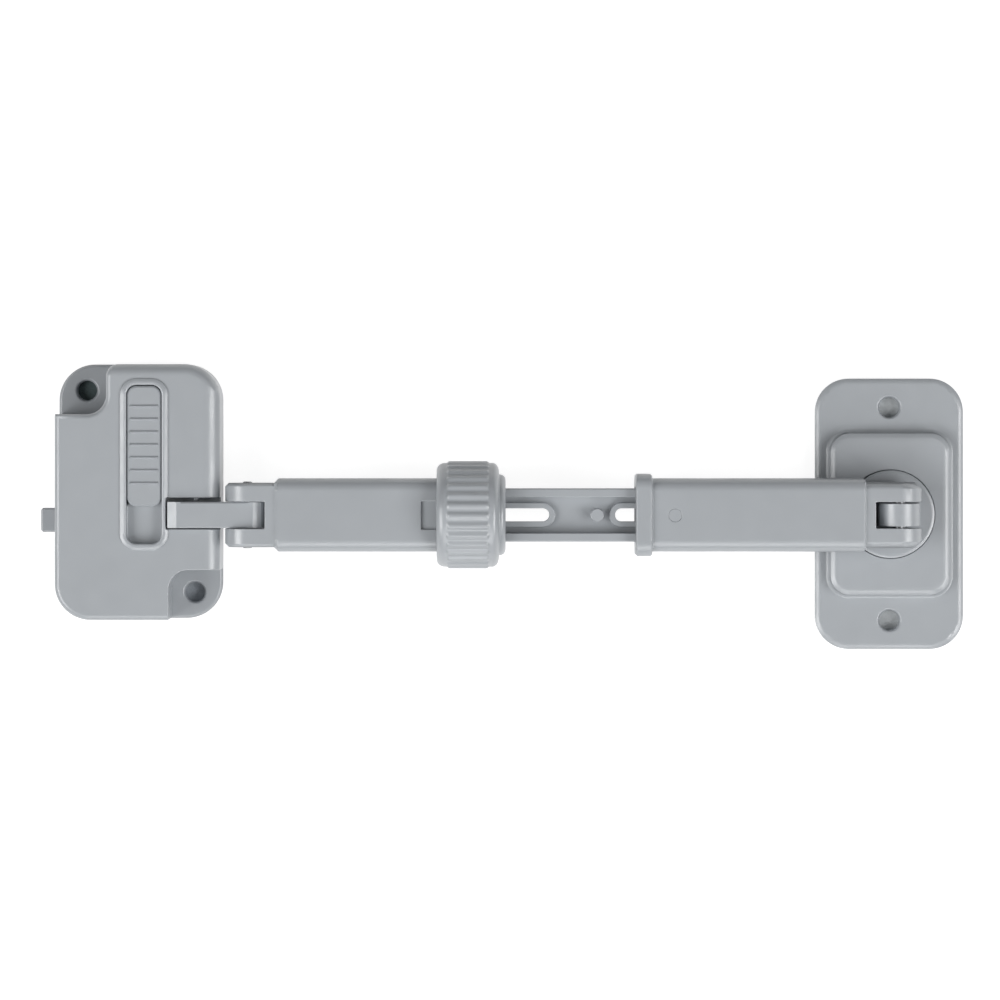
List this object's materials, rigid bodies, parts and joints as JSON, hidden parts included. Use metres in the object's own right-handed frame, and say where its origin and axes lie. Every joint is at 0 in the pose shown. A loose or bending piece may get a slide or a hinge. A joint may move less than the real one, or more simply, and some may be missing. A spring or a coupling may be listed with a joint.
{
  "type": "window restrictor",
  "caption": "Window opening restrictor: screw-on swivel base, telescopic rod with knurled clamp collar, and a lock box with thumb slider and side button.",
  "frame": {"origin": "swivel axis of the base, on the wall face of its pad", "axes": "+X along the rod from the lock box to the base, +Y up the plates, +Z away from the wall"},
  "size_m": [0.2323, 0.0719, 0.0294],
  "materials": {
    "grey_plastic": "satin moulded",
    "pad_foam": "foam",
    "pin_steel": "plain",
    "spring_steel": "plain"
  },
  "bodies": {
    "base": {"base_plate": "grey_plastic", "base_pad": "pad_foam"},
    "turret": {"turret": "grey_plastic", "turret_washer": "pin_steel", "turret_screw": "pin_steel"},
    "right_tube": {"right_tube": "grey_plastic", "turret_pin": "pin_steel", "stop_pin": "grey_plastic"},
    "bar": {"inner_bar": "grey_plastic"},
    "left_tube": {"left_tube": "grey_plastic", "fork_pin": "pin_steel"},
    "collar": {"clamp_collar": "grey_plastic"},
    "arm": {"link_arm": "grey_plastic"},
    "lock_box": {"lock_base": "grey_plastic", "lock_cover": "grey_plastic", "lock_pad": "pad_foam", "cover_screws": "pin_steel", "catch_clip": "spring_steel", "detent_leaf": "spring_steel", "slider_spring": "spring_steel", "button_spring": "spring_steel"},
    "thumb_slider": {"thumb_slider": "grey_plastic", "latch_plate": "grey_plastic"},
    "side_button": {"side_button": "grey_plastic"}
  },
  "joints": [
    {"name": "turret_swivel", "type": "hinge", "parent": "base", "child": "turret", "pos_m": [0, 0, 0], "axis": [0, 0, 1], "continuous": true},
    {"name": "rod_hinge", "type": "hinge", "parent": "turret", "child": "right_tube", "pos_m": [0.0015, 0, 0.016], "axis": [0, 1, 0], "range_deg": [0, 180]},
    {"name": "bar_slide", "type": "slide", "parent": "right_tube", "child": "bar", "axis": [-1, 0, 0], "range_m": [-0.0079, 0.0303]},
    {"name": "rod_slide", "type": "slide", "parent": "bar", "child": "left_tube", "axis": [-1, 0, 0], "range_m": [-0.0205, 0.017]},
    {"name": "collar_turn", "type": "hinge", "parent": "left_tube", "child": "collar", "pos_m": [-0.1141, 0, 0.016], "axis": [-1, 0, 0], "range_deg": [0, 180]},
    {"name": "arm_hinge", "type": "hinge", "parent": "left_tube", "child": "arm", "pos_m": [-0.1614, 0, 0.016], "axis": [0, 1, 0], "range_deg": [-90, 95]},
    {"name": "arm_release", "type": "slide", "parent": "arm", "child": "lock_box", "axis": [0, 0, -1], "range_m": [0, 0.014], "deforming": ["catch_clip"]},
    {"name": "slider_travel", "type": "slide", "parent": "lock_box", "child": "thumb_slider", "axis": [0, -1, 0], "range_m": [0, 0.0093], "stiffness_N_per_m": 120, "springref_m": -0.004, "deforming": ["slider_spring", "detent_leaf"]},
    {"name": "button_press", "type": "slide", "parent": "lock_box", "child": "side_button", "axis": [1, 0, 0], "range_m": [0, 0.0025], "stiffness_N_per_m": 300, "springref_m": -0.002, "deforming": ["button_spring"]}
  ]
}
